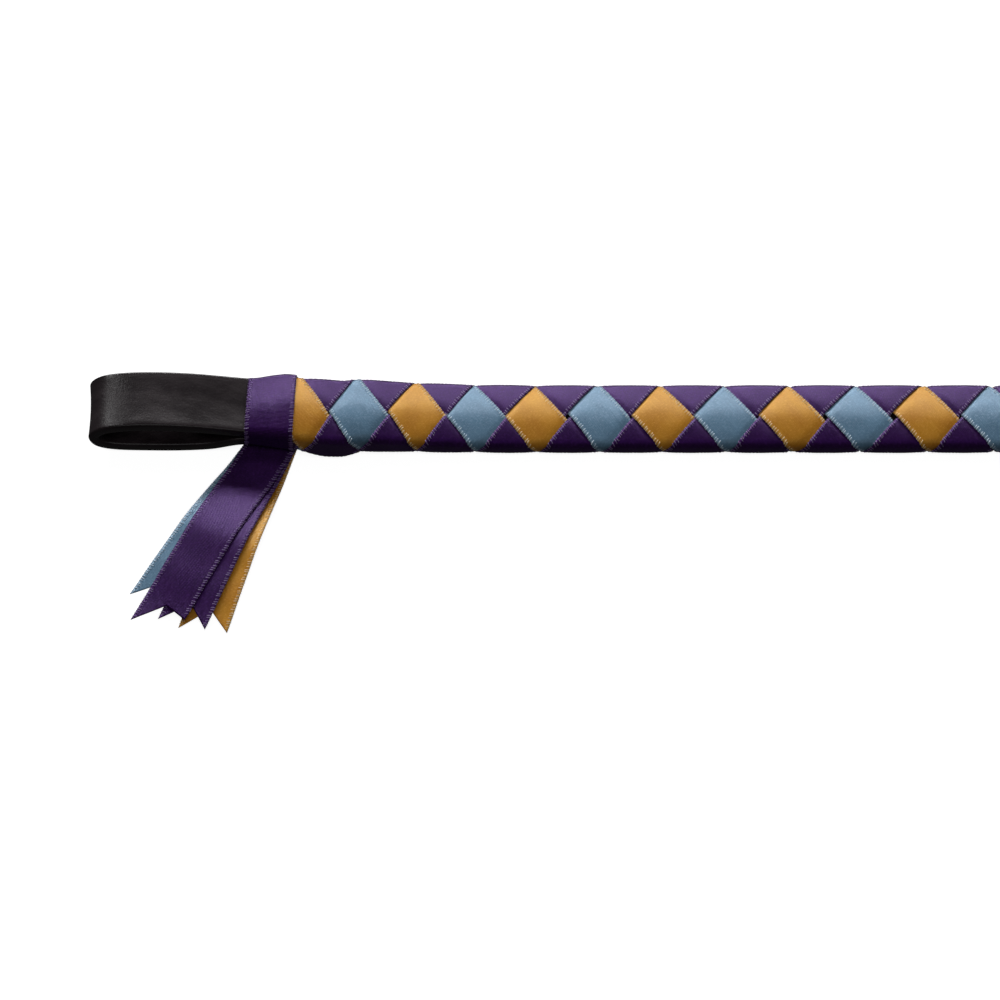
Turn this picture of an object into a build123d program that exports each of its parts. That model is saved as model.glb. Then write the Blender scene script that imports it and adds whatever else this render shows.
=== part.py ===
from build123d import *
import math
import os

# A ribbon-plaited show browband for a bridle, in millimetres.
# A leather strap lies along X with its ends folded back into loops. Four satin ribbons are plaited round it, a ribbon
# collar closes the plait at each end, and four ribbon tails hang from a tack under each collar.
# The origin is at mid-length on the surface that the browband lies on. +X runs along the band, +Z out of its front.

# Leather strap
HALF_LENGTH = 210.0
LEATHER_WIDTH = 16.6
LEATHER_THICK = 2.75
FLAT_END = 100.0  # the strap lies flat from the middle to here
BEND_X = 140.0  # here its gentle slope becomes steeper
BEND_RISE = 2.1
FLAP_GAP = 0.1  # between the strap and its turned-back end
FLAP_DROP_X = 156.0  # from here to its end the turned-back end dips towards the surface
FLAP_END_X = 144.5
FLAP_END_BOTTOM = 1.15
FLAP_STEP = 2.0  # the ribbons step down over the turned-back end within this length
LOOP_TOP = 11.2
LOOP_BOTTOM = 0.5
LOOP_SHOULDER_X = 187.0
LOOP_NECK_X = 174.5
LOOP_BEND_RADIUS = 10.0
LOOP_TURN_FLAT = 0.04  # what is left straight between the two bends at the very end of a loop

# Plait
LAYER = 0.35  # room for one ribbon; the plait is two ribbons deep
PLAIT_THICK = 2 * LAYER
PITCH = 17.2  # from one diamond to the next at mid-length
PITCH_LOSS = 0.15  # the plait tightens towards its ends
LAST_DIAMOND = 10
HALF_RIBBON = 0.455  # half a ribbon's width, in diamonds
HALF_RISER = 0.53  # where a ribbon steps from one layer to the other, in diamonds

# Collars
COLLAR_INNER_X = 158.5
COLLAR_OUTER_X = 170.5
COLLAR_THICK = 0.3
COLLAR_CORNER = 0.28
COLLAR_CLEARANCE = 0.1  # between the collar and the uppermost tail
SEAM_STITCHES = 5
SEAM_STITCH_LENGTH = 1.5
SEAM_STITCH_WIDTH = 0.35
SEAM_STITCH_PITCH = 2.1
SEAM_STITCH_SLANT = 35.0

# Tails
RIBBON_WIDTH = 12.0
TAIL_THICK = 0.25
TAIL_GAP = 0.2
TAIL_FLOOR = 0.5  # underside of the lowest tail
TAIL_HEAD = 4.0  # how far a tail reaches past its tack
# Distance from the tack and height of a tail's arch. Every tail has the same arch, so they swing past each other.
TAIL_ARCH = [(12.0, 0.0), (19.0, 0.9), (27.0, 2.3), (33.0, 2.6), (42.0, 2.0), (54.0, 0.6), (66.0, -0.3)]
TAIL_ARCH_SLOPES = [(1.0, 0.0), (1.0, -0.03)]
TACK_X = 163.5
TACK_Y = -5.5
TACK_RADIUS = 0.6
TACK_CLEARANCE = 0.2
KNOT_RADIUS = 1.7
KNOT_THICK = 0.4
# name: layer from below, angle from straight down, length of outer edge, of inner edge, and at the notch
TAILS = {
    "orange_tail": (0, 16.7, 60.2, 58.2, 53.0),
    "blue_tail": (1, 31.4, 57.9, 56.6, 50.6),
    "purple_tail_back": (2, 21.9, 60.4, 59.0, 53.5),
    "purple_tail_front": (3, 27.4, 64.2, 58.2, 56.6),
}

# Threads through the turned-back end
THREAD_RADIUS = 0.4
THREAD_HOLE_RADIUS = 0.45
THREAD_ROWS_X = (161.5, 167.5)
THREADS_PER_ROW = 5
THREAD_PITCH = 3.0

# Heights at the collar, from the surface upwards
TAILS_TOP = TAIL_FLOOR + len(TAILS) * TAIL_THICK + (len(TAILS) - 1) * TAIL_GAP
COLLAR_BOTTOM = TAILS_TOP + COLLAR_CLEARANCE
FLAP_BOTTOM = COLLAR_BOTTOM + COLLAR_THICK + PLAIT_THICK
FLAP_TOP = FLAP_BOTTOM + LEATHER_THICK
STRAP_BOTTOM = FLAP_TOP + FLAP_GAP
STRAP_TOP = STRAP_BOTTOM + LEATHER_THICK
STRAP_RISE = STRAP_BOTTOM - PLAIT_THICK

HALF_PLAIT = LEATHER_WIDTH / 2 + PLAIT_THICK
HALF_COLLAR = HALF_PLAIT + COLLAR_THICK
FAR = 30.0  # clear of everything in Z

os.makedirs("parts", exist_ok=True)


def save(piece, name):
    piece.label = name
    export_step(piece, f"parts/{name}.step")


def strap_underside(x):
    """Height of the strap's underside, without the turned-back end."""
    if x <= FLAT_END:
        return PLAIT_THICK
    if x <= BEND_X:
        return PLAIT_THICK + BEND_RISE * (x - FLAT_END) / (BEND_X - FLAT_END)
    share = min(1.0, (x - BEND_X) / (COLLAR_INNER_X - BEND_X))
    return PLAIT_THICK + BEND_RISE + (STRAP_RISE - BEND_RISE) * share


def arch_profile():
    """A tail's thickness along the arch, for turning about the tack. X is the distance from the tack."""
    under = TAIL_ARCH
    over = [(r, z + TAIL_THICK) for r, z in TAIL_ARCH]
    with BuildSketch(Plane.XZ) as profile:
        with BuildLine():
            Line((0.0, 0.0), under[0])
            Spline(*under, tangents=TAIL_ARCH_SLOPES)
            Line(under[-1], over[-1])
            Spline(*over, tangents=TAIL_ARCH_SLOPES)
            Line(over[0], (0.0, TAIL_THICK))
            Line((0.0, TAIL_THICK), (0.0, 0.0))
        make_face()
    return profile.sketch


def leather_outline():
    """The strap from mid-length to the collar's outer edge, in the XZ plane."""
    marks = (0.0, FLAT_END, BEND_X, COLLAR_INNER_X, COLLAR_OUTER_X)
    under = [(x, strap_underside(x)) for x in marks]
    return under + [(x, z + LEATHER_THICK) for x, z in reversed(under)]


def flap_outline():
    """The turned-back end under the collar, in the XZ plane."""
    tip_top = strap_underside(FLAP_END_X) - FLAP_GAP
    return [
        (COLLAR_OUTER_X, FLAP_BOTTOM),
        (COLLAR_OUTER_X, FLAP_TOP),
        (COLLAR_INNER_X, FLAP_TOP),
        (FLAP_END_X, tip_top),
        (FLAP_END_X, FLAP_END_BOTTOM),
        (FLAP_DROP_X, FLAP_BOTTOM),
    ]


def loop_path():
    """The leather's middle line round the right-hand loop."""
    front = LOOP_TOP - LEATHER_THICK / 2
    back = LOOP_BOTTOM + LEATHER_THICK / 2
    end = HALF_LENGTH - LEATHER_THICK / 2
    turn = (front - back - LOOP_TURN_FLAT) / 2
    points = [
        (COLLAR_OUTER_X, STRAP_BOTTOM + LEATHER_THICK / 2),
        (LOOP_NECK_X, STRAP_BOTTOM + LEATHER_THICK / 2),
        (LOOP_SHOULDER_X, front),
        (end, front),
        (end, back),
        (LOOP_SHOULDER_X, back),
        (LOOP_NECK_X, FLAP_BOTTOM + LEATHER_THICK / 2),
        (COLLAR_OUTER_X, FLAP_BOTTOM + LEATHER_THICK / 2),
    ]
    bend = LOOP_BEND_RADIUS
    return points, [bend, bend, turn, turn, bend, bend]


def envelope_outline(grow):
    """What the plait is wound on, grown by some layers, over its whole length in the XZ plane."""
    top = [
        (0.0, PLAIT_THICK + LEATHER_THICK),
        (FLAT_END, PLAIT_THICK + LEATHER_THICK),
        (BEND_X, PLAIT_THICK + BEND_RISE + LEATHER_THICK),
        (COLLAR_INNER_X, STRAP_TOP),
        (COLLAR_OUTER_X, STRAP_TOP),
    ]
    step_x = FLAP_END_X - FLAP_STEP
    bottom = [
        (0.0, PLAIT_THICK),
        (FLAT_END, PLAIT_THICK),
        (BEND_X, strap_underside(BEND_X)),
        (step_x, strap_underside(step_x)),
        (FLAP_END_X, FLAP_END_BOTTOM),
        (FLAP_DROP_X, FLAP_BOTTOM),
        (COLLAR_OUTER_X, FLAP_BOTTOM),
    ]
    right = [(x, z - grow) for x, z in bottom[1:]] + [(x, z + grow) for x, z in reversed(top[1:])]
    return right + [(-x, z) for x, z in reversed(right)]


def envelope(grow):
    with BuildPart() as solid:
        with BuildSketch(Plane.XZ):
            Polygon(*envelope_outline(grow), align=None)
        extrude(amount=LEATHER_WIDTH / 2 + grow, both=True)
    return solid.part


def front_half():
    """All the space above the middle of the wound package."""
    right = [
        (FLAT_END, PLAIT_THICK + LEATHER_THICK / 2),
        (BEND_X, PLAIT_THICK + BEND_RISE + LEATHER_THICK / 2),
        (COLLAR_INNER_X, (FLAP_BOTTOM + STRAP_TOP) / 2),
        (HALF_LENGTH, (FLAP_BOTTOM + STRAP_TOP) / 2),
        (HALF_LENGTH, FAR),
    ]
    with BuildPart() as solid:
        with BuildSketch(Plane.XZ):
            Polygon(*right, *[(-x, z) for x, z in reversed(right)], align=None)
        extrude(amount=FAR, both=True)
    return solid.part


def ply(inner_grow, front):
    """One layer of the sleeve round the strap, on its front or its back."""
    with BuildPart() as shell:
        add(envelope(inner_grow + LAYER))
        add(envelope(inner_grow), mode=Mode.SUBTRACT)
        add(front_half(), mode=Mode.INTERSECT if front else Mode.SUBTRACT)
    return shell.part


def lattice_point(falling, rising):
    """Where two ribbon lines cross on the flattened plait. Each is numbered in diamonds from mid-length."""
    along = (falling + rising) / 2
    x = PITCH * along - PITCH_LOSS * along * abs(along)
    return x, -(rising - falling) * HALF_PLAIT


def strip(centre, falls, shift):
    """One diamond-shaped stretch of a ribbon, shifted along it by some diamonds from the centreline."""
    low, high = centre - HALF_RIBBON, centre + HALF_RIBBON
    start, stop = centre + shift - HALF_RISER, centre + shift + HALF_RISER
    corners = [(low, start), (high, start), (high, stop), (low, stop)]
    return [lattice_point(across, along) if falls else lattice_point(along, across) for across, along in corners]


def ribbon_ply(shell, centres, falls, shifts):
    """The stretches of one ribbon that lie in one layer."""
    with BuildPart() as stretch:
        with BuildSketch(Plane.XY.offset(-FAR)):
            for centre in centres:
                for shift in shifts:
                    Polygon(*strip(centre, falls, shift), align=None)
        extrude(amount=2 * FAR)
        add(shell, mode=Mode.INTERSECT)
    return stretch.part


def plait_ribbon(plies, first, coloured):
    """One strand. A coloured strand is outermost on the centrelines, and a purple one at the edges."""
    front_centres = range(first, LAST_DIAMOND + 1, 2)
    back_first = -LAST_DIAMOND if first != -LAST_DIAMOND else 1 - LAST_DIAMOND
    back_centres = range(back_first, LAST_DIAMOND + 1, 2)
    middle, sides = (0,), (-1, 1)
    outer_shifts, inner_shifts = (middle, sides) if coloured else (sides, middle)
    with BuildPart() as strand:
        add(ribbon_ply(plies["front_outer"], front_centres, coloured, outer_shifts))
        add(ribbon_ply(plies["front_inner"], front_centres, coloured, inner_shifts))
        add(ribbon_ply(plies["back_outer"], back_centres, not coloured, outer_shifts))
        add(ribbon_ply(plies["back_inner"], back_centres, not coloured, inner_shifts))
    return strand.part


# Leather strap: the plaited length, the loops and the turned-back ends are one strip
with BuildPart() as leather_strap:
    with BuildSketch(Plane.XZ):
        Polygon(*leather_outline(), align=None)
        Polygon(*flap_outline(), align=None)
        with BuildLine():
            FilletPolyline(*loop_path()[0], radius=loop_path()[1])
        trace(line_width=LEATHER_THICK)
    extrude(amount=LEATHER_WIDTH / 2, both=True)
    with BuildSketch(Plane.XY.offset(-FAR)):
        for row_x in THREAD_ROWS_X:
            with Locations((row_x, 0)):
                with GridLocations(0, THREAD_PITCH, 1, THREADS_PER_ROW):
                    Circle(THREAD_HOLE_RADIUS)
    extrude(amount=2 * FAR, mode=Mode.SUBTRACT)
    mirror(about=Plane.YZ)
save(leather_strap.part, "leather_strap")

# The four strands of the plait
plies = {
    "front_inner": ply(0, True),
    "front_outer": ply(LAYER, True),
    "back_inner": ply(0, False),
    "back_outer": ply(LAYER, False),
}
save(plait_ribbon(plies, -LAST_DIAMOND, True), "orange_ribbon")
save(plait_ribbon(plies, -LAST_DIAMOND + 1, True), "blue_ribbon")
save(plait_ribbon(plies, -LAST_DIAMOND, False), "purple_ribbon_1")
save(plait_ribbon(plies, -LAST_DIAMOND + 1, False), "purple_ribbon_2")

for side, end in ((-1, "left"), (1, "right")):
    collar_x = side * (COLLAR_INNER_X + COLLAR_OUTER_X) / 2
    collar_height = STRAP_TOP + PLAIT_THICK + COLLAR_THICK - COLLAR_BOTTOM
    collar_z = COLLAR_BOTTOM + collar_height / 2
    collar_plane = Plane.YZ.offset(collar_x)

    # Collar: ribbon wound once round the end of the plait
    with BuildPart() as collar:
        with BuildSketch(collar_plane):
            with Locations((0, collar_z)):
                RectangleRounded(2 * HALF_COLLAR, collar_height, COLLAR_CORNER)
                inside = (2 * HALF_PLAIT, collar_height - 2 * COLLAR_THICK)
                Rectangle(*inside, mode=Mode.SUBTRACT)
        extrude(amount=(COLLAR_OUTER_X - COLLAR_INNER_X) / 2, both=True)
    save(collar.part, f"{end}_collar")

    # The stitches that close the collar, along its upper edge
    with BuildPart() as collar_stitches:
        with BuildSketch(Plane.XZ.offset(-HALF_COLLAR)):
            with Locations((collar_x, collar_z)):
                with GridLocations(SEAM_STITCH_PITCH, 0, SEAM_STITCHES, 1):
                    Rectangle(SEAM_STITCH_LENGTH, SEAM_STITCH_WIDTH, rotation=SEAM_STITCH_SLANT)
        extrude(amount=-SEAM_STITCH_WIDTH / 2)
    save(collar_stitches.part, f"{end}_collar_stitches")

    # The threads that sew the turned-back end to the strap
    with BuildPart() as turnback_stitches:
        with BuildSketch(Plane.XY.offset(FLAP_BOTTOM)):
            for row_x in THREAD_ROWS_X:
                with Locations((side * row_x, 0)):
                    with GridLocations(0, THREAD_PITCH, 1, THREADS_PER_ROW):
                        Circle(THREAD_RADIUS)
        extrude(amount=STRAP_TOP - FLAP_BOTTOM)
    save(turnback_stitches.part, f"{end}_turnback_stitches")

    # The tack: a thread through the tails, knotted below them
    with BuildPart() as tail_tack:
        with BuildSketch(Plane.XY):
            with Locations((side * TACK_X, TACK_Y)):
                Circle(KNOT_RADIUS)
        extrude(amount=KNOT_THICK)
        with BuildSketch(Plane.XY):
            with Locations((side * TACK_X, TACK_Y)):
                Circle(TACK_RADIUS)
        extrude(amount=COLLAR_BOTTOM)
    save(tail_tack.part, f"{end}_tail_tack")

    # The tails, each a ribbon with a fishtail end
    for name, (layer, angle, outer_edge, inner_edge, notch) in TAILS.items():
        turn = math.radians(angle)
        height = TAIL_FLOOR + layer * (TAIL_THICK + TAIL_GAP)
        tail_plane = Plane(
            origin=(side * TACK_X, TACK_Y, height),
            x_dir=(side * math.sin(turn), -math.cos(turn), 0),
            z_dir=(0, 0, 1),
        )
        half = side * RIBBON_WIDTH / 2
        outline = [(-TAIL_HEAD, half), (outer_edge, half), (notch, 0), (inner_edge, -half), (-TAIL_HEAD, -half)]
        with BuildPart() as tail:
            revolve(Plane(tail_plane.origin) * arch_profile(), Axis(tail_plane.origin, (0, 0, 1)))
            with BuildSketch(tail_plane.offset(-FAR)):
                Polygon(*outline, align=None)
                Circle(TACK_RADIUS + TACK_CLEARANCE, mode=Mode.SUBTRACT)
            extrude(amount=2 * FAR, mode=Mode.INTERSECT)
        save(tail.part, f"{end}_{name}")
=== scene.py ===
import math

import bmesh
import bpy
import numpy as np
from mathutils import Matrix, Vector


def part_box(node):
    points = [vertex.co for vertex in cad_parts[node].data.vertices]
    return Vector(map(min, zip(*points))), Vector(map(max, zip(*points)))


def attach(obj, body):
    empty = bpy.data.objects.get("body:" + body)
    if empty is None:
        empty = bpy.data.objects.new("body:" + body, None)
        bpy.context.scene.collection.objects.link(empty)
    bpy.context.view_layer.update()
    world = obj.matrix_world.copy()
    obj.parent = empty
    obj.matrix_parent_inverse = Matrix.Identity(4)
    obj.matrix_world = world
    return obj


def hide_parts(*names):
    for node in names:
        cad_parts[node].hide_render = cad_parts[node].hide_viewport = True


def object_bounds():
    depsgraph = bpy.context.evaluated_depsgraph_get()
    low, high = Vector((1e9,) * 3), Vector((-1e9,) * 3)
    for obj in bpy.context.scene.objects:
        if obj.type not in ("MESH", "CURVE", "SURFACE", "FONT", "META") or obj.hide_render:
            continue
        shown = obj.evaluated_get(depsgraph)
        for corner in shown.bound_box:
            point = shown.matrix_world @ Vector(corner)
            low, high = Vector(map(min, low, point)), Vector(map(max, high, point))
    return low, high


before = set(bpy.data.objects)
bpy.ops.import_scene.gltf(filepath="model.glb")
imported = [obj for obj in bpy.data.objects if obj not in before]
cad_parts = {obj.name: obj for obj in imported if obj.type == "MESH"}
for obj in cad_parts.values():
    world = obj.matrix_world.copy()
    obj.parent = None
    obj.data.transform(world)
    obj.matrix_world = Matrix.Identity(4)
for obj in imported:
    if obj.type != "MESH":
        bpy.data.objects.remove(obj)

MM = 0.001  # the frame is in metres, and the sizes below are in millimetres

cad_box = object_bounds()

# --------------------------------------------------------------------------------------------------
# Driving sizes, from the CAD
# --------------------------------------------------------------------------------------------------
strap_high = np.array(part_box("leather_strap")[1]) / MM
collar_low, collar_high = (np.array(corner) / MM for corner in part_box("right_collar"))
LEATHER_HALF = strap_high[1]
LEATHER_THICK = 2.75
COLLAR_INNER_X = collar_low[0]
COLLAR_OUTER_X = collar_high[0]
FLAP_END_X = 144.5

# Ribbon stock
RIBBON_WIDTH = 12.0
RIBBON_HALF = RIBBON_WIDTH / 2
RIBBON_THICK = 0.13
PICOT_PITCH = 0.78
PICOT_HALF_THICK = 0.115  # half of a thread's width along the ribbon
PICOT_LIFT = 0.045
PICOT_REACH = 0.10  # how far a picot stands out past the selvage
PICOT_ROOT = 0.95  # where it starts, in from the selvage
PICOT_LEAN = 0.12

# The plait's lattice, as in the CAD
PITCH = 17.2
PITCH_LOSS = 0.15
LAST_DIAMOND = 10
PLAIT_END_X = 161.2
SWAP = 0.25  # how far a ribbon moves out or in from the middle layer
PUFF = 0.12
LATTICE_TURN = 0.035  # the diamonds sit a little towards the lower edge
ROW_LENGTH = 0.55  # the length of one row of the cloth's faces


# --------------------------------------------------------------------------------------------------
# Meshes
# --------------------------------------------------------------------------------------------------
def new_piece(name, points, faces, uvs, material):
    """A smooth mesh object in metres from points in millimetres. uvs holds one (u, v) for each point."""
    mesh = bpy.data.meshes.new(name)
    mesh.from_pydata((np.asarray(points) * MM).tolist(), [], faces)
    layer = mesh.uv_layers.new(name="Weave")
    loops = np.zeros(len(mesh.loops), np.int32)
    mesh.loops.foreach_get("vertex_index", loops)
    layer.data.foreach_set("uv", np.asarray(uvs, np.float32)[loops].ravel())
    mesh.materials.append(material)
    mesh.polygons.foreach_set("use_smooth", np.full(len(mesh.polygons), True))
    turned = bmesh.new()
    turned.from_mesh(mesh)
    bmesh.ops.recalc_face_normals(turned, faces=turned.faces[:])
    turned.to_mesh(mesh)
    turned.free()
    mesh.update()
    piece = bpy.data.objects.new(name, mesh)
    bpy.context.scene.collection.objects.link(piece)
    return piece


def settle(piece, body, slot, *nodes):
    """A piece rides on a body and stands for CAD nodes, whose parts are hidden. The slot is not used."""
    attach(piece, body)
    if nodes:
        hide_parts(*nodes)
    return piece


def smooth_step(t):
    t = np.clip(t, 0.0, 1.0)
    return t * t * (3 - 2 * t)


def hermite(x, knots):
    """A smooth curve through (x, value, slope) knots, level before the first and after the last."""
    x = np.asarray(x, float)
    xs = [k[0] for k in knots]
    out = np.full(x.shape, float(knots[0][1]))
    for (x0, v0, m0), (x1, v1, m1) in zip(knots, knots[1:]):
        h = x1 - x0
        t = (x - x0) / h
        inside = (x >= x0) & (x <= x1)
        value = ((1 + 2 * t) * (1 - t) ** 2 * v0 + t * (1 - t) ** 2 * h * m0
                 + t * t * (3 - 2 * t) * v1 + t * t * (t - 1) * h * m1)
        out = np.where(inside, value, out)
    return np.where(x > xs[-1], knots[-1][1], out)


class Sheet:
    """Collects points and faces, such as slabs of cloth and threads, into one mesh."""

    def __init__(self):
        self.points, self.faces, self.uvs = [], [], []
        self.count = 0

    def add(self, points, faces, uvs):
        self.points.append(np.asarray(points, float))
        self.uvs.append(np.asarray(uvs, float))
        self.faces += [tuple(int(i) + self.count for i in face) for face in faces]
        self.count += len(points)

    def add_cloth(self, front, back, uv):
        """A closed slab between two grids of shape (rows, columns, 3)."""
        rows, cols = front.shape[:2]
        n = rows * cols
        index = np.arange(n).reshape(rows, cols)
        a, b, c, d = index[:-1, :-1], index[1:, :-1], index[1:, 1:], index[:-1, 1:]
        quads = np.stack([a, d, c, b], -1).reshape(-1, 4)
        faces = quads.tolist() + (quads[:, ::-1] + n).tolist()
        edge = (
            [(index[0, j], index[0, j + 1]) for j in range(cols - 1)]
            + [(index[i, -1], index[i + 1, -1]) for i in range(rows - 1)]
            + [(index[-1, j + 1], index[-1, j]) for j in reversed(range(cols - 1))]
            + [(index[i + 1, 0], index[i, 0]) for i in reversed(range(rows - 1))]
        )
        faces += [(j, i, i + n, j + n) for i, j in edge]
        self.add(
            np.concatenate([front.reshape(-1, 3), back.reshape(-1, 3)]),
            faces,
            np.concatenate([uv.reshape(-1, 2)] * 2),
        )

    def piece(self, name, material):
        points, uvs = np.concatenate(self.points), np.concatenate(self.uvs)
        return new_piece(name, points, self.faces, uvs, material)


def picots(place, length, keep):
    """The small thread loops along both selvages, where keep(t, w) says so. place(t, w, h) gives
    points of the ribbon, t along it, w across it and raised by h."""
    sheet = Sheet()
    k = np.arange(int(length / PICOT_PITCH))
    # Each thread: three marks along its left side, its ridge and its right side, and a tip on the
    # ribbon's edge
    faces = [(0, 1, 4, 3), (1, 2, 5, 4), (3, 4, 7, 6), (4, 5, 8, 7), (0, 6, 7, 1), (1, 7, 8, 2)]
    faces += [(0, 3, 6), (2, 9, 5), (5, 9, 8), (8, 9, 2)]
    for edge in (-1, 1):
        t = (k + 0.5 + 0.18 * np.sin(k * 2.3 + edge)) * PICOT_PITCH
        inner = edge * (RIBBON_HALF - PICOT_ROOT - 0.12 * np.sin(k * 1.7))
        outer = np.full(len(k), edge * (RIBBON_HALF + PICOT_REACH))
        lean = PICOT_LEAN * edge
        marks = [(t - lean, inner, 0.0), (t, (inner + outer) / 2, 0.05), (t + lean, outer, 0.02)]
        rows = [(along - PICOT_HALF_THICK, w, h * 0.4 + 0.01) for along, w, h in marks]
        rows += [(along, w, h + PICOT_LIFT) for along, w, h in marks]
        rows += [(along + PICOT_HALF_THICK, w, h * 0.4 + 0.01) for along, w, h in marks]
        rows.append((t + lean, outer + edge * 0.04, -RIBBON_THICK))
        points = np.stack([place(along, w, np.full(len(k), h)) for along, w, h in rows], 1)
        for i in np.flatnonzero(keep(t, outer)):
            sheet.add(points[i], faces, np.tile([t[i], outer[i]], (len(rows), 1)))
    return sheet


# --------------------------------------------------------------------------------------------------
# The wound strap: a rounded section that rises towards the collars
# --------------------------------------------------------------------------------------------------
# Distance from the middle of the band, height and slope of the leather's two faces inside the plait
LEATHER_TOP = [
    (0, 3.85, 0), (95, 3.85, 0), (138, 6.0, 0.12), (150, 7.45, 0.13), (COLLAR_INNER_X, 8.45, 0.11),
    (165, 8.8, 0),
]
LEATHER_BOTTOM = [
    (0, 0.9, 0), (100, 0.9, 0), (140.5, 1.5, 0.02), (143.7, 0.9, 0), (150.0, 1.0, 0.06),
    (158.0, 3.2, 0.1), (165, 3.25, 0),
]
CORNER = 0.40
MIDDLE_LAYER = 0.45  # height of the plait's middle above the leather
PLAIT_SLACK = 0.30  # the ribbons stand off the edges of the leather
FLAP_BULGE = 0.20  # extra half-width where the strap is doubled
SWAY = 1.0
FRONT_CROWN = 1.3
BACK_CROWN = 0.3
PHASE_SOFTNESS = 0.12  # a smaller number changes over and under more quickly
STRAND_STEPS = 2400
# A hand-wound ribbon wanders to and fro: how far, and how quickly along it
SLOW_WANDER = (0.28, 0.061)
QUICK_WANDER = (0.18, 0.147)


def leather_faces(x):
    """Heights of the top and bottom of the leather inside the plait."""
    return hermite(np.abs(x), LEATHER_TOP), hermite(np.abs(x), LEATHER_BOTTOM)


def sway(x):
    """How far the strap's doubled stretch sits towards the tails' side of the band."""
    x = np.abs(x)
    return -SWAY * smooth_step((x - 142) / 5) * (1 - smooth_step((x - 155) / 7))


def half_width(x):
    """Half the width of the wound strap, to the middle of the plait."""
    return LEATHER_HALF + MIDDLE_LAYER + PLAIT_SLACK + FLAP_BULGE * smooth_step((np.abs(x) - 134) / 12)


def girth(half_y, half_z, radius):
    return 4 * (half_y + half_z) - (8 - 2 * math.pi) * radius


def round_loop(q, half_y, half_z, radius):
    """A point and its outward direction on a rounded rectangle. q is the share of the way round from
    the middle of its front, towards -Y."""
    flat, arc, side = half_y - radius, math.pi * radius / 2, 2 * (half_z - radius)
    wrapped = q - np.round(q)
    s = np.abs(wrapped) * girth(half_y, half_z, radius)
    turn = np.clip((s - flat) / radius, 0, math.pi / 2)
    turn = turn + np.clip((s - flat - arc - side) / radius, 0, math.pi / 2)
    down = np.clip(s - flat - arc, 0, side)
    back = np.clip(s - flat - 2 * arc - side, 0, None)
    y = np.minimum(s, flat) + radius * np.sin(turn) - back
    z = half_z - radius + radius * np.cos(turn) - down
    sign = -np.sign(wrapped)
    return sign * y, z, sign * np.sin(turn), np.cos(turn)


def section(x, q, height):
    """A point on the wound strap, at a height above its leather."""
    x, q, height = np.broadcast_arrays(x, q, height)
    top, bottom = leather_faces(x)
    centre, half_z = (top + bottom) / 2, (top - bottom) / 2 + MIDDLE_LAYER
    half_y = half_width(x)
    y, z, normal_y, normal_z = round_loop(q, half_y, half_z, CORNER + MIDDLE_LAYER)
    share = np.clip(np.abs(y) / half_y, 0, 1) ** 2
    crown = np.where(z > 0, FRONT_CROWN * (1 - share), BACK_CROWN * share)
    crown = crown * smooth_step(np.abs(z) / half_z)
    grow = height - MIDDLE_LAYER
    return np.stack([x, sway(x) + y + normal_y * grow, centre + z + crown + normal_z * grow], -1)


def strap_girth(x):
    """The way round the wound strap, through the middle of the plait."""
    top, bottom = leather_faces(x)
    return girth(half_width(x), (top - bottom) / 2 + MIDDLE_LAYER, CORNER + MIDDLE_LAYER)


def x_of(diamond):
    return PITCH * diamond - PITCH_LOSS * diamond * np.abs(diamond)


def diamond_of(x):
    reach = (PITCH - np.sqrt(PITCH**2 - 4 * PITCH_LOSS * np.abs(x))) / (2 * PITCH_LOSS)
    return np.sign(x) * reach


def over_under(u):
    """1 where a ribbon passes over, -1 where it passes under, with a quick change between. The period
    is 2."""
    c = np.cos(math.pi * u)
    return c / np.sqrt(c * c + PHASE_SOFTNESS)


class Strand:
    """One ribbon of the plait, wound along the strap at a constant width."""

    def __init__(self, first, coloured):
        self.first = first
        self.coloured = coloured
        self.sense = 1 if coloured else -1
        reach = LAST_DIAMOND + 0.9
        turns = np.linspace((-reach - first) / 2, (reach - first) / 2, STRAND_STEPS)
        self.q = turns * self.sense
        x = x_of(first + 2 * turns)
        x_rate = np.gradient(x, self.q)
        self.s_rate = strap_girth(x)
        self.x, self.x_rate = x, x_rate
        step = np.hypot(np.diff(x), np.diff(self.q) * self.s_rate[:-1])
        self.t = np.concatenate([[0], np.cumsum(step)])
        self.length = self.t[-1]

    def flat_point(self, t, w):
        """(x, q) of a point t along and w across the ribbon."""
        slow = SLOW_WANDER[0] * np.sin(t * SLOW_WANDER[1] + self.first * 2.1)
        quick = QUICK_WANDER[0] * np.sin(t * QUICK_WANDER[1] + self.sense)
        w = w + (slow + quick)
        q = np.interp(t, self.t, self.q)
        x = np.interp(t, self.t, self.x)
        x_rate = np.interp(t, self.t, self.x_rate)
        s_rate = np.interp(t, self.t, self.s_rate)
        long = np.hypot(x_rate, s_rate)
        return x - w * s_rate / long, q + w * x_rate / long / s_rate

    def phase(self, x, q):
        diamond = diamond_of(x)
        if self.coloured:
            return over_under(diamond + 2 * q - self.first)
        return -over_under(diamond - 2 * q - self.first)

    def place(self, t, w, h):
        x, q = self.flat_point(t, w)
        over = self.phase(x, q)
        across = np.clip(np.abs(w) / RIBBON_HALF, 0, 1)
        puff = PUFF * (1 - across**2) * smooth_step((over + 0.4) / 1.4)
        ripple = 0.02 * np.sin(t * 0.9 + w * 0.35) * (1 - across)
        height = MIDDLE_LAYER + SWAP * over + puff + ripple + RIBBON_THICK / 2 + h
        return section(x, q + LATTICE_TURN, height)


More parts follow.
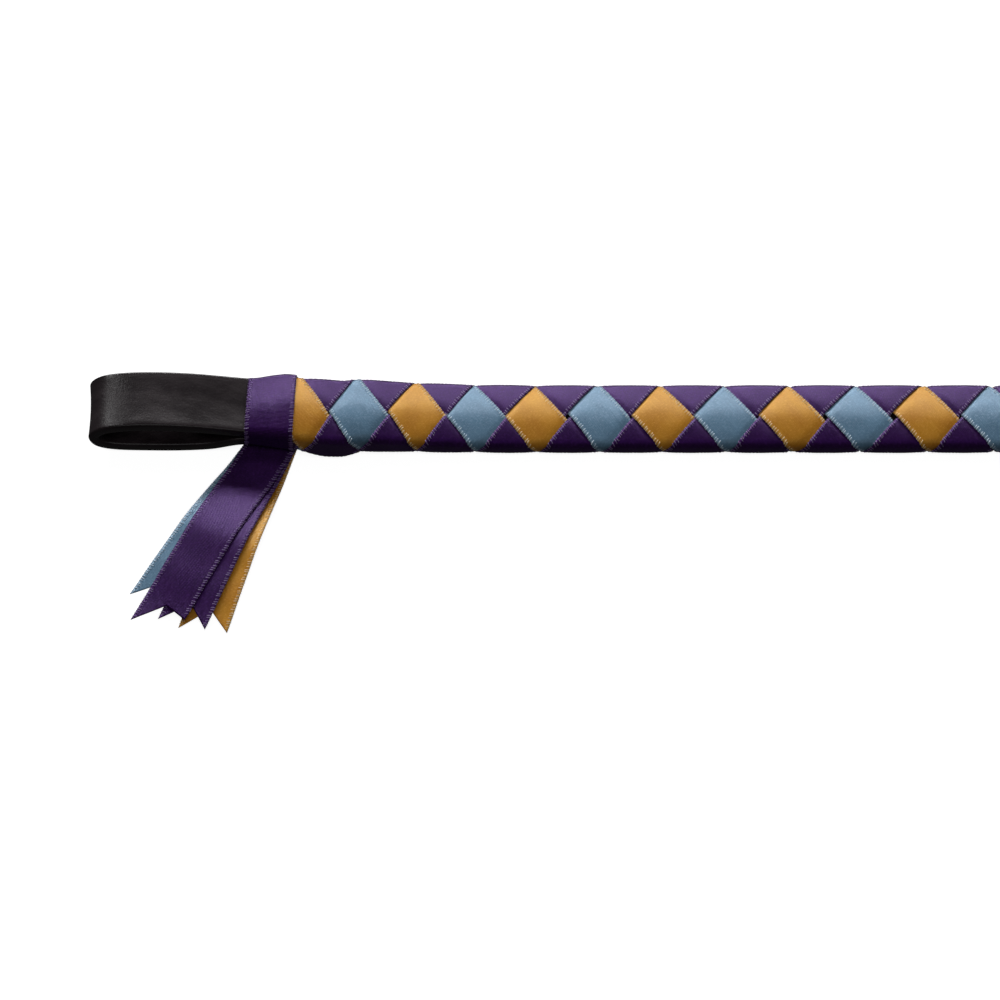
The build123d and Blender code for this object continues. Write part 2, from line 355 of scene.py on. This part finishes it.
def cut_at(piece, limit):
    """Cuts a mesh off past x = +-limit and closes the cut."""
    mesh = bmesh.new()
    mesh.from_mesh(piece.data)
    for side in (-1, 1):
        everything = mesh.verts[:] + mesh.edges[:] + mesh.faces[:]
        place, normal = (side * limit * MM, 0, 0), (side, 0, 0)
        cut = bmesh.ops.bisect_plane(
            mesh, geom=everything, plane_co=place, plane_no=normal, clear_outer=True
        )
        edges = [e for e in cut["geom_cut"] if isinstance(e, bmesh.types.BMEdge) and e.is_boundary]
        bmesh.ops.holes_fill(mesh, edges=edges)
    mesh.to_mesh(piece.data)
    mesh.free()


def plait_strand(name, first, coloured, colour):
    strand = Strand(first, coloured)
    t = np.linspace(0, strand.length, int(strand.length / ROW_LENGTH))
    t, w = np.meshgrid(t, np.linspace(-RIBBON_HALF, RIBBON_HALF, 21), indexing="ij")
    sheet = Sheet()
    sheet.add_cloth(strand.place(t, w, 0.0), strand.place(t, w, -RIBBON_THICK), np.stack([t, w], -1))

    def seen(t, w):
        x, q = strand.flat_point(t, w)
        return (strand.phase(x, q) > -0.35) & (np.abs(x) < PLAIT_END_X - 1)

    cloth = sheet.piece(name + "_cloth", satin[colour])
    cut_at(cloth, PLAIT_END_X)
    loops = picots(strand.place, strand.length, seen).piece(name + "_picots", thread[colour])
    settle(cloth, "band", colour + "_satin", name)
    settle(loops, "band", thread_slot(colour))
    inside = np.abs(strand.x) < PLAIT_END_X


# --------------------------------------------------------------------------------------------------
# Tubes of thread
# --------------------------------------------------------------------------------------------------
def tube(sheet, path, radius, sides=8, closed=False, taper=0.0):
    """A round thread along a path of points."""
    path = np.asarray(path, float)
    n = len(path)
    ahead = np.roll(path, -1, 0) - np.roll(path, 1, 0)
    if not closed:
        ahead[0], ahead[-1] = path[1] - path[0], path[-1] - path[-2]
    ahead /= np.linalg.norm(ahead, axis=1, keepdims=True)
    up = np.tile([0.0, 0.0, 1.0], (n, 1))
    up[np.abs(ahead[:, 2]) > 0.9] = [0.0, 1.0, 0.0]
    side = np.cross(ahead, up)
    side /= np.linalg.norm(side, axis=1, keepdims=True)
    up = np.cross(side, ahead)
    along = np.linspace(0, 1, n)
    size = radius * (1 - taper * (2 * np.abs(along - 0.5)) ** 4)
    angle = np.linspace(0, 2 * math.pi, sides, endpoint=False)
    cos, sin = np.cos(angle)[None, :, None], np.sin(angle)[None, :, None]
    ring = size[:, None, None] * (cos * side[:, None] + sin * up[:, None])
    points = (path[:, None] + ring).reshape(-1, 3)
    faces = []
    for i in range(n if closed else n - 1):
        for j in range(sides):
            k, m = (i + 1) % n, (j + 1) % sides
            faces.append((i * sides + j, i * sides + m, k * sides + m, k * sides + j))
    if not closed:
        faces.append(tuple(reversed(range(sides))))
        faces.append(tuple(range((n - 1) * sides, n * sides)))
    steps = np.concatenate([[0], np.cumsum(np.linalg.norm(np.diff(path, axis=0), axis=1))])
    uv = np.stack([np.repeat(steps, sides), np.tile(angle * radius, n)], -1)
    sheet.add(points, faces, uv)


# --------------------------------------------------------------------------------------------------
# The leather strap and its loops
# --------------------------------------------------------------------------------------------------
# The middle line of the leather on the right-hand side, (x, z) from the collar round the loop and back
LOOP_LINE = [
    (164.0, 7.42), (170.5, 7.60), (177.0, 8.60), (185.0, 9.75), (193.0, 10.25), (200.0, 10.10),
    (205.6, 9.05), (208.3, 7.10), (208.55, 5.00), (206.9, 3.05), (202.5, 1.95), (195.0, 1.62),
    (187.0, 1.62), (179.5, 2.25), (172.5, 4.10), (164.0, 4.57), (156.5, 4.30), (150.0, 3.15),
    (FLAP_END_X, 2.35),
]
LOOP_START_X = 164.0
LEATHER_CORNER = 0.62
LEATHER_GAP = 0.05  # between the leather and the ribbons over it
LEATHER_SKIVE = 0.45  # how much thinner the folded ends are
SKIVE_LENGTH = 8.0
BACK_UV = 40.0  # keeps the grain of the two faces apart
LEATHER_DISH = 0.32  # the strap's edges curl outwards where it is bent


def catmull(points, per_span):
    """A smooth curve through points."""
    p = np.asarray(points, float)
    p = np.vstack([2 * p[0] - p[1], p, 2 * p[-1] - p[-2]])
    out = []
    t = np.linspace(0, 1, per_span, endpoint=False)[:, None]
    for a, b, c, d in zip(p, p[1:], p[2:], p[3:]):
        square, cube = 2 * a - 5 * b + 4 * c - d, 3 * b - a - 3 * c + d
        out.append(0.5 * (2 * b + (c - a) * t + square * t**2 + cube * t**3))
    return np.vstack(out + [p[-2][None]])


def leather_ring(thick):
    """The strap's cross-section: (outward, across) points, with rounded edges and a slightly
    dished face."""
    half, corner = thick / 2, LEATHER_CORNER
    flat = LEATHER_HALF - corner
    points = []
    for sign_n, sign_y, start in ((1, 1, 0), (-1, 1, 90), (-1, -1, 180), (1, -1, 270)):
        for degrees in (0, 15, 30, 45, 60, 75, 90):
            a = math.radians(start + degrees)
            out = sign_n * (half - corner) + corner * math.cos(a)
            points.append((out, sign_y * flat + corner * math.sin(a)))
        if start in (90, 270):
            for share in (0.85, 0.6, 0.3, 0.0, -0.3, -0.6, -0.85):
                out = sign_n * half - LEATHER_DISH * (1 - share**2)
                points.append((out, sign_y * flat * share))
    return np.array(points)


def leather_strap():
    middle_x = np.arange(0, LOOP_START_X, 2.0)
    middle_z = hermite(middle_x, LEATHER_TOP) - LEATHER_THICK / 2 - LEATHER_GAP
    middle = np.stack([middle_x, middle_z], -1)
    right = np.vstack([middle, catmull(LOOP_LINE, 9)])
    line = np.vstack([(right * [-1, 1])[:0:-1], right])
    ahead = np.gradient(line, axis=0)
    ahead /= np.linalg.norm(ahead, axis=1, keepdims=True)
    normal = np.stack([-ahead[:, 1], ahead[:, 0]], -1)
    steps = np.concatenate([[0], np.cumsum(np.linalg.norm(np.diff(line, axis=0), axis=1))])
    from_end = np.minimum(steps, steps[-1] - steps)
    thick = LEATHER_THICK - LEATHER_SKIVE * np.clip(1 - from_end / SKIVE_LENGTH, 0, 1)
    sheet = Sheet()
    rings = [leather_ring(t) for t in thick]
    n = len(rings[0])
    points, uvs = [], []
    for (x, z), (nx, nz), ring, u in zip(line, normal, rings, steps):
        for k, (out, across) in enumerate(ring):
            points.append((x + nx * out, sway(x) + across, z + nz * out))
            uvs.append((u, across + (BACK_UV if out < 0 else 0)))
    faces = []
    for i in range(len(line) - 1):
        for j in range(n):
            k = (j + 1) % n
            faces.append((i * n + j, i * n + k, (i + 1) * n + k, (i + 1) * n + j))
    faces.append(tuple(reversed(range(n))))
    faces.append(tuple(range((len(line) - 1) * n, len(line) * n)))
    sheet.add(points, faces, uvs)
    settle(sheet.piece("leather_strap_hide", leather()), "band", "black_leather", "leather_strap")


# --------------------------------------------------------------------------------------------------
# Collars and their stitches
# --------------------------------------------------------------------------------------------------
COLLAR_CENTRE_Z = 6.0
COLLAR_HALF_Z = 3.1
COLLAR_SLACK = 0.28  # room round the leather, at the loop
COLLAR_ROOM = (1.15, 0.80)  # extra half-width and half-height over the end of the plait
COLLAR_CLOTH = 0.2  # its thickness
COLLAR_TILT = 0.05
COLLAR_START, COLLAR_STOP = -0.272, 0.762  # shares of the way round
COLLAR_OVERLAP = 0.24  # how far its end stands off its start
COLLAR_CROWN = 1.25
COLLAR_SEAM = 0.752
COLLAR_AROUND = girth(LEATHER_HALF + 0.9, 3.7, 1.8)  # in the middle of its width
COLLAR_STITCHES = 5
STITCH_PITCH = 2.1
STITCH_RADIUS = 0.14
STITCH_REACH = 0.014  # share of the way round, each side of the seam
STITCH_SLANT = 0.45
STITCH_RISE = 0.16
DOUBLE_OFFSET = 0.26  # between the two threads of one stitch


def collar_point(side, q, w, h):
    """A point of the collar, q of the way round. w runs across its ribbon, away from the middle of
    the band."""
    q, w, h = np.broadcast_arrays(q, w, h)
    on_plait = 1 - smooth_step((w + 5.5) / 12.0)
    half_y = LEATHER_HALF + COLLAR_SLACK + COLLAR_ROOM[0] * on_plait
    half_z = COLLAR_HALF_Z + COLLAR_ROOM[1] * on_plait
    tuck = COLLAR_OVERLAP * smooth_step((q - 0.66) / 0.05)
    relief = 0.07 * np.sin(q * 26 + w * 0.5) * np.sin(w * 0.55 + 1.0)
    relief = relief * smooth_step((RIBBON_HALF - np.abs(w)) / 2)
    # The back lies flat over the tails
    relief = relief * np.clip(1 + 2 * np.cos(2 * math.pi * q), 0, 1)
    y, z, normal_y, normal_z = round_loop(q, half_y, half_z, 1.5 + 0.4 * on_plait)
    crown = COLLAR_CROWN * (1 - (y / half_y) ** 2) * np.clip(z / half_z, 0, 1) ** 3
    out = tuck + relief + h
    x = side * ((COLLAR_INNER_X + COLLAR_OUTER_X) / 2 + w) + COLLAR_TILT * y
    y = sway(x) + y + normal_y * out
    return np.stack([x, y, COLLAR_CENTRE_Z + z + crown + normal_z * out], -1)


def collar(end, side):
    length = (COLLAR_STOP - COLLAR_START) * COLLAR_AROUND
    q = np.linspace(COLLAR_START, COLLAR_STOP, 220)
    q, w = np.meshgrid(q, np.linspace(-RIBBON_HALF, RIBBON_HALF, 25), indexing="ij")
    uv = np.stack([(q - COLLAR_START) * COLLAR_AROUND, w], -1)
    sheet = Sheet()
    sheet.add_cloth(collar_point(side, q, w, 0.0), collar_point(side, q, w, -COLLAR_CLOTH), uv)

    def place(t, w, h):
        return collar_point(side, COLLAR_START + t / COLLAR_AROUND, w, h)

    def clear_of_tails(t, w):
        return np.cos(2 * math.pi * (COLLAR_START + t / COLLAR_AROUND)) > -0.7

    cloth = sheet.piece(f"{end}_collar_cloth", satin["purple"])
    loops = picots(place, length, clear_of_tails).piece(f"{end}_collar_picots", thread["purple"])
    settle(cloth, "band", "purple_satin", f"{end}_collar")
    settle(loops, "band", "purple_thread")


def collar_stitches(end, side):
    """Slanting stitches of doubled thread that close the collar on the upper edge of the band."""
    sheet = Sheet()
    along = np.linspace(-1, 1, 9)
    for k in range(COLLAR_STITCHES):
        middle = (k - (COLLAR_STITCHES - 1) / 2) * STITCH_PITCH
        for wind in (0, 1):
            q = COLLAR_SEAM + along * STITCH_REACH + 0.0006 * wind
            w = middle + along * STITCH_SLANT + wind * DOUBLE_OFFSET
            path = collar_point(side, q, w, STITCH_RISE * (1 - along**4) - 0.02)
            tube(sheet, path, STITCH_RADIUS, taper=0.5)
    piece = sheet.piece(f"{end}_collar_stitches_thread", thread["purple"])
    settle(piece, "band", "purple_thread", f"{end}_collar_stitches")


# --------------------------------------------------------------------------------------------------
# Tails and the tacks that hold them
# --------------------------------------------------------------------------------------------------
TAIL_HEAD = 4.0  # how far a tail reaches past its tack
TAIL_FLOOR = 0.5  # height of the lowest tail at its tack
TAIL_LIFT = 0.42  # from one tail to the next above it
# Distance from the tack, height and slope. Every tail has the same arch, so they swing past each other
TAIL_ARCH = [
    (12.0, 0.0, 0.0), (19.0, 0.9, 0.17), (27.0, 2.3, 0.12), (33.0, 2.6, -0.01), (42.0, 2.0, -0.10),
    (54.0, 0.6, -0.10), (66.0, -0.3, -0.03),
]
TACK_X = 163.5
TACK_Y = -5.5
TACK_HEIGHTS = (0.15, 0.8, 1.5, 2.35)
TACK_STRANDS = 3
TACK_SPREAD = 0.25
TACK_RADIUS = 0.2
KNOT_SIZE = 0.42
KNOT_RADIUS = 0.16
KNOT_HEIGHT = 0.24
# Name, colour, layer from below, angle from straight down, length of the outer edge, of the inner
# edge, and at the notch
TAILS = [
    ("orange_tail", "orange", 0, 16.7, 60.2, 58.2, 53.0),
    ("blue_tail", "blue", 1, 31.4, 57.9, 56.6, 50.6),
    ("purple_tail_back", "purple", 2, 21.9, 60.4, 59.0, 53.5),
    ("purple_tail_front", "purple", 3, 27.4, 64.2, 58.2, 56.6),
]


def tail(end, side, name, colour, layer, angle, outer, inner, notch):
    turn = math.radians(angle)
    along = np.array([side * math.sin(turn), -math.cos(turn), 0.0])
    across = np.array([side * math.cos(turn), math.sin(turn), 0.0])
    up = np.array([0, 0, 1.0])
    pivot = np.array([side * TACK_X, TACK_Y, TAIL_FLOOR + layer * TAIL_LIFT])

    def place(t, w, h):
        """w is positive on the tail's outer edge."""
        r = np.hypot(t, w)
        z = hermite(r, TAIL_ARCH) + 0.10 * np.sin(r * 0.42) * smooth_step((r - 14) / 8) + h
        return pivot + t[..., None] * along + w[..., None] * across + z[..., None] * up

    def picot_place(t, w, h):
        return place(t - TAIL_HEAD, w, h + RIBBON_THICK)

    def on_cloth(t, w):
        return t - TAIL_HEAD < np.where(w > 0, outer, inner) - 1.0

    share = np.linspace(0, 1, 120)
    share, w = np.meshgrid(share, np.linspace(-RIBBON_HALF, RIBBON_HALF, 25), indexing="ij")
    outer_end = notch + (outer - notch) * w / RIBBON_HALF
    inner_end = notch - (inner - notch) * w / RIBBON_HALF
    t = -TAIL_HEAD + share * (np.where(w > 0, outer_end, inner_end) + TAIL_HEAD)
    sheet = Sheet()
    sheet.add_cloth(place(t, w, RIBBON_THICK), place(t, w, 0.0), np.stack([t, w], -1))
    cloth = sheet.piece(f"{end}_{name}_cloth", satin[colour])
    length = max(outer, inner) + TAIL_HEAD
    loops = picots(picot_place, length, on_cloth).piece(f"{end}_{name}_picots", thread[colour])
    body = f"{end}_{name}_body"
    settle(cloth, body, colour + "_satin", f"{end}_{name}")
    settle(loops, body, thread_slot(colour))


def tack(end, side):
    """The thread through the tails, with its knot below them."""
    sheet = Sheet()
    a = np.linspace(0, 2 * math.pi, 60, endpoint=False)
    knot = np.stack([
        side * TACK_X + KNOT_SIZE * (np.sin(a) + 2 * np.sin(2 * a)),
        TACK_Y + KNOT_SIZE * (np.cos(a) - 2 * np.cos(2 * a)),
        KNOT_HEIGHT - 0.10 * np.sin(3 * a),
    ], -1)
    tube(sheet, knot, KNOT_RADIUS, closed=True)
    for k in range(TACK_STRANDS):
        b = 2 * math.pi * k / TACK_STRANDS
        x = side * TACK_X + TACK_SPREAD * math.cos(b)
        y = TACK_Y + TACK_SPREAD * math.sin(b)
        tube(sheet, [(x, y, z) for z in TACK_HEIGHTS], TACK_RADIUS)
    piece = sheet.piece(f"{end}_tack_thread", thread["dark"])
    settle(piece, "band", "dark_thread", f"{end}_tail_tack")


# --------------------------------------------------------------------------------------------------
# Materials
# --------------------------------------------------------------------------------------------------
def linear(*srgb):
    """A colour given as 0-255 screen values."""
    return [((c / 255 + 0.055) / 1.055) ** 2.4 if c > 10 else c / 255 / 12.92 for c in srgb] + [1.0]


RIB_PITCH = 0.34
WARP_PITCH = 0.26
CLOTH_BUMP = 0.04 * MM
LEATHER_BUMP = 0.06 * MM
SELVAGE = (5.25, 5.5)  # where the ribbon's body ends and its selvage starts, from its middle line
LEATHER_DARK = linear(26, 20, 23)
LEATHER_LIGHT = linear(38, 31, 34)
LEATHER_WORN = linear(60, 52, 50)
LEATHER_EDGE = (6.9, 7.9)  # where the polished edge starts, from the middle line


class Nodes:
    """A material's node tree, with one call for each node."""

    def __init__(self, name):
        self.material = bpy.data.materials.new(name)
        self.material.use_nodes = True
        self.tree = self.material.node_tree
        self.shader = self.tree.nodes["Principled BSDF"]

    def node(self, kind, **settings):
        made = self.tree.nodes.new("ShaderNode" + kind)
        for key, value in settings.items():
            setattr(made, key, value)
        return made

    def link(self, source, target):
        if hasattr(source, "links"):
            self.tree.links.new(source, target)
        else:
            target.default_value = source

    def math(self, operation, *values):
        made = self.node("Math", operation=operation)
        for value, socket in zip(values, made.inputs):
            self.link(value, socket)
        return made.outputs[0]

    def map_range(self, value, low, high, to_low=0.0, to_high=1.0):
        made = self.node("MapRange")
        made.interpolation_type = "SMOOTHSTEP"
        for socket, given in zip(made.inputs, (value, low, high, to_low, to_high)):
            self.link(given, socket)
        return made.outputs[0]

    def mix(self, share, first, second):
        made = self.node("Mix", data_type="RGBA")
        self.link(share, made.inputs["Factor"])
        self.link(first, made.inputs[6])
        self.link(second, made.inputs[7])
        return made.outputs[2]

    def noise(self, vector, scale, detail=2.0, rough=0.5):
        made = self.node("TexNoise")
        self.link(vector, made.inputs["Vector"])
        made.inputs["Scale"].default_value = scale
        made.inputs["Detail"].default_value = detail
        made.inputs["Roughness"].default_value = rough
        return made.outputs["Fac"]

    def stretched(self, vector, along, across):
        made = self.node("Mapping")
        self.link(vector, made.inputs["Vector"])
        made.inputs["Scale"].default_value = (along, across, 1.0)
        return made.outputs[0]

    def bump(self, height, distance, strength):
        made = self.node("Bump")
        made.inputs["Strength"].default_value = strength
        made.inputs["Distance"].default_value = distance
        self.link(height, made.inputs["Height"])
        return made.outputs[0]

    def weave(self):
        """The ribbon's own coordinates in millimetres: the vector, along and across."""
        vector = self.node("UVMap", uv_map="Weave").outputs[0]
        parts = self.node("SeparateXYZ")
        self.link(vector, parts.inputs[0])
        return vector, parts.outputs[0], parts.outputs[1]

    def set(self, **values):
        for name, value in values.items():
            self.shader.inputs[name.replace("_", " ")].default_value = value


def satin_cloth(name, base, light, dark, edge, gloss, gloss_level, metallic):
    """Woven ribbon: fine ribs across it, a silky grain, faint streaks along it, and a tighter
    selvage."""
    n = Nodes(name)
    vector, u, v = n.weave()
    streaks = n.noise(n.stretched(vector, 0.12, 2.2), 1.0, 3.0)
    grain = n.noise(n.stretched(vector, 2.6, 1.3), 1.0, 2.0, 0.6)
    clouds = n.noise(n.stretched(vector, 0.16, 0.2), 1.0, 2.0)
    rib = n.math("SINE", n.math("MULTIPLY", u, 2 * math.pi / RIB_PITCH))
    warp = n.math("SINE", n.math("MULTIPLY", v, 2 * math.pi / WARP_PITCH))
    edge_share = n.map_range(n.math("ABSOLUTE", v), *SELVAGE)
    colour = n.mix(n.map_range(clouds, 0.3, 0.7), dark, base)
    colour = n.mix(n.map_range(grain, 0.45, 0.8, 0.0, 0.45), colour, light)
    colour = n.mix(n.map_range(streaks, 0.5, 0.9, 0.0, 0.25), colour, light)
    colour = n.mix(n.map_range(rib, -1.0, 1.0, 0.0, 0.14), colour, light)
    colour = n.mix(n.math("MULTIPLY", edge_share, 0.3), colour, edge)
    n.link(colour, n.shader.inputs["Base Color"])
    n.link(n.map_range(grain, 0.25, 0.75, 0.27, 0.37), n.shader.inputs["Roughness"])
    fine = n.math("ADD", n.math("MULTIPLY", rib, 0.6), n.math("MULTIPLY", warp, 0.25))
    height = n.math("ADD", fine, n.math("MULTIPLY", grain, 1.5))
    height = n.math("ADD", height, n.math("MULTIPLY", streaks, 0.6))
    n.link(n.bump(height, CLOTH_BUMP, 0.6), n.shader.inputs["Normal"])
    n.set(Metallic=metallic, Specular_IOR_Level=gloss_level, Specular_Tint=gloss, Sheen_Weight=0.02,
          Sheen_Roughness=0.3, Sheen_Tint=light)
    return n.material


def stitching(name, base, light):
    """Twisted thread."""
    n = Nodes(name)
    vector, u, v = n.weave()
    twist = n.math("SINE", n.math("ADD", n.math("MULTIPLY", u, 9.0), n.math("MULTIPLY", v, 7.0)))
    tone = n.noise(vector, 0.8, 2.0)
    n.link(n.mix(n.map_range(tone, 0.3, 0.7), base, light), n.shader.inputs["Base Color"])
    n.link(n.map_range(twist, -1.0, 1.0, 0.42, 0.62), n.shader.inputs["Roughness"])
    n.link(n.bump(twist, CLOTH_BUMP, 0.7), n.shader.inputs["Normal"])
    n.set(Sheen_Weight=0.3, Sheen_Roughness=0.4)
    return n.material


def leather():
    """Black bridle leather: pebbled grain, faint wax bloom and hair scratches, with polished edges."""
    n = Nodes("black_leather")
    vector, u, v = n.weave()
    cells = n.node("TexVoronoi", feature="SMOOTH_F1")
    n.link(vector, cells.inputs["Vector"])
    cells.inputs["Scale"].default_value = 1.9
    cells.inputs["Smoothness"].default_value = 0.6
    pores = n.noise(vector, 3.0, 4.0, 0.6)
    bloom = n.noise(n.stretched(vector, 0.10, 0.22), 1.0, 4.0, 0.6)
    scratch = n.map_range(n.noise(n.stretched(vector, 0.2, 4.0), 1.0, 2.0), 0.70, 0.78)
    polish = n.map_range(n.math("ABSOLUTE", v), *LEATHER_EDGE)
    colour = n.mix(n.map_range(bloom, 0.35, 0.7), LEATHER_DARK, LEATHER_LIGHT)
    colour = n.mix(n.math("MULTIPLY", scratch, 0.35), colour, LEATHER_WORN)
    n.link(colour, n.shader.inputs["Base Color"])
    rough = n.map_range(bloom, 0.3, 0.7, 0.28, 0.38)
    rough = n.math("SUBTRACT", rough, n.math("MULTIPLY", polish, 0.10))
    n.link(n.math("ADD", rough, n.math("MULTIPLY", scratch, 0.08)), n.shader.inputs["Roughness"])
    height = n.math("ADD", cells.outputs["Distance"], n.math("MULTIPLY", pores, 0.7))
    height = n.math("SUBTRACT", height, n.math("MULTIPLY", scratch, 0.3))
    n.link(n.bump(height, LEATHER_BUMP, 0.35), n.shader.inputs["Normal"])
    n.set(Specular_IOR_Level=0.22)
    return n.material


satin = {
    "blue": satin_cloth("blue_satin", linear(88, 122, 148), linear(134, 170, 200),
                        linear(78, 108, 132), linear(170, 196, 218), linear(200, 226, 250),
                        0.6, 0.05),
    "orange": satin_cloth("orange_satin", linear(186, 122, 32), linear(222, 164, 66),
                          linear(172, 106, 26), linear(220, 178, 108), linear(252, 228, 126),
                          0.6, 0.05),
    "purple": satin_cloth("purple_satin", linear(38, 16, 50), linear(76, 38, 108), linear(28, 11, 38),
                          linear(78, 46, 104), linear(170, 84, 255), 0.38, 0.0),
}
thread = {
    "blue": stitching("blue_picot_thread", linear(160, 188, 210), linear(204, 220, 234)),
    "orange": stitching("orange_picot_thread", linear(224, 184, 122), linear(242, 216, 168)),
    "purple": stitching("purple_thread", linear(96, 72, 126), linear(134, 108, 162)),
    "dark": stitching("dark_thread", linear(34, 30, 34), linear(62, 56, 62)),
}


def thread_slot(colour):
    return "purple_thread" if colour == "purple" else colour + "_satin"


# --------------------------------------------------------------------------------------------------
# The object
# --------------------------------------------------------------------------------------------------
leather_strap()
plait_strand("orange_ribbon", 0, True, "orange")
plait_strand("blue_ribbon", 1, True, "blue")
plait_strand("purple_ribbon_1", 0, False, "purple")
plait_strand("purple_ribbon_2", 1, False, "purple")
for end, side in (("left", -1), ("right", 1)):
    tack(end, side)
    collar(end, side)
    collar_stitches(end, side)
    for row in TAILS:
        tail(end, side, *row)
    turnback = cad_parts[f"{end}_turnback_stitches"]
    turnback.data.materials.clear()
    turnback.data.materials.append(thread["dark"])


# --------------------------------------------------------------------------------------------------
# Floor, light and camera, all in metres
# --------------------------------------------------------------------------------------------------
FLOOR_HALF = 3.0
FLOOR_GAP = 0.0001  # how far the floor is below the object
FLOOR_GREY = 0.35
FLOOR_GLOW = 0.92
ELEVATION = math.radians(56)
CAMERA_DISTANCE = 2.0
VIEW_WIDTH = 0.25
VIEW_CENTRE = (0.103, -0.02285)  # from the object's left end, and along y
SENSOR = 36.0


def floor():
    mesh = bpy.data.meshes.new("floor")
    half = FLOOR_HALF
    corners = [(-half, -half, 0), (half, -half, 0), (half, half, 0), (-half, half, 0)]
    mesh.from_pydata(corners, [], [(0, 1, 2, 3)])
    plane = bpy.data.objects.new("floor", mesh)
    bpy.context.scene.collection.objects.link(plane)
    plane.location.z = cad_box[0][2] - FLOOR_GAP
    material = bpy.data.materials.new("floor")
    material.use_nodes = True
    shader = material.node_tree.nodes["Principled BSDF"]
    shader.inputs["Base Color"].default_value = (FLOOR_GREY, FLOOR_GREY, FLOOR_GREY, 1)
    shader.inputs["Emission Color"].default_value = (1, 1, 1, 1)
    shader.inputs["Emission Strength"].default_value = FLOOR_GLOW
    shader.inputs["Roughness"].default_value = 0.9
    shader.inputs["Specular IOR Level"].default_value = 0.0
    mesh.materials.append(material)
    plane.visible_glossy = False
    plane.visible_diffuse = False


def softbox(name, place, target, width, height, power):
    light = bpy.data.lights.new(name, "AREA")
    light.shape = "RECTANGLE"
    light.size, light.size_y = width, height
    light.energy = power
    lamp = bpy.data.objects.new(name, light)
    bpy.context.scene.collection.objects.link(lamp)
    lamp.location = place
    lamp.rotation_euler = (Vector(target) - Vector(place)).to_track_quat("-Z", "Y").to_euler()


def sky(level_up, level_down):
    """Soft light from all round, stronger from above and from behind the object."""
    world = bpy.data.worlds.new("studio")
    bpy.context.scene.world = world
    world.use_nodes = True
    tree = world.node_tree
    direction = tree.nodes.new("ShaderNodeTexCoord").outputs["Generated"]
    parts = tree.nodes.new("ShaderNodeSeparateXYZ")
    tree.links.new(direction, parts.inputs[0])
    lift = tree.nodes.new("ShaderNodeMath")
    lift.operation = "MULTIPLY_ADD"
    tree.links.new(parts.outputs["Y"], lift.inputs[0])
    lift.inputs[1].default_value = 0.55
    tree.links.new(parts.outputs["Z"], lift.inputs[2])
    ramp = tree.nodes.new("ShaderNodeMapRange")
    tree.links.new(lift.outputs[0], ramp.inputs["Value"])
    ramp.inputs["From Min"].default_value = -0.3
    ramp.inputs["From Max"].default_value = 1.1
    ramp.inputs["To Min"].default_value = level_down
    ramp.inputs["To Max"].default_value = level_up
    tree.links.new(ramp.outputs[0], tree.nodes["Background"].inputs["Strength"])
    tree.nodes["Background"].inputs["Color"].default_value = (1, 1, 1, 1)


target = Vector((cad_box[0][0] + VIEW_CENTRE[0], VIEW_CENTRE[1], 0.0))
camera_data = bpy.data.cameras.new("camera")
camera_data.sensor_width = SENSOR
camera_data.lens = SENSOR * CAMERA_DISTANCE / VIEW_WIDTH
camera_data.clip_start = 0.01
camera = bpy.data.objects.new("camera", camera_data)
bpy.context.scene.collection.objects.link(camera)
camera.location = target + CAMERA_DISTANCE * Vector((0, -math.cos(ELEVATION), math.sin(ELEVATION)))
camera.rotation_euler = (target - camera.location).to_track_quat("-Z", "Y").to_euler()
bpy.context.scene.camera = camera

floor()
sky(0.13, 0.06)
softbox("key", (-0.25, 1.22, 0.55), (-0.1, 0, 0), 1.3, 0.25, 24.0)
softbox("top", (-0.1, -0.5, 1.4), (-0.1, 0, 0), 1.2, 0.6, 3.7)
softbox("strip", (-0.72, 0.68, 0.90), (-0.2, 0, 0), 0.10, 0.5, 1.6)
bpy.context.scene.view_settings.view_transform = "Standard"
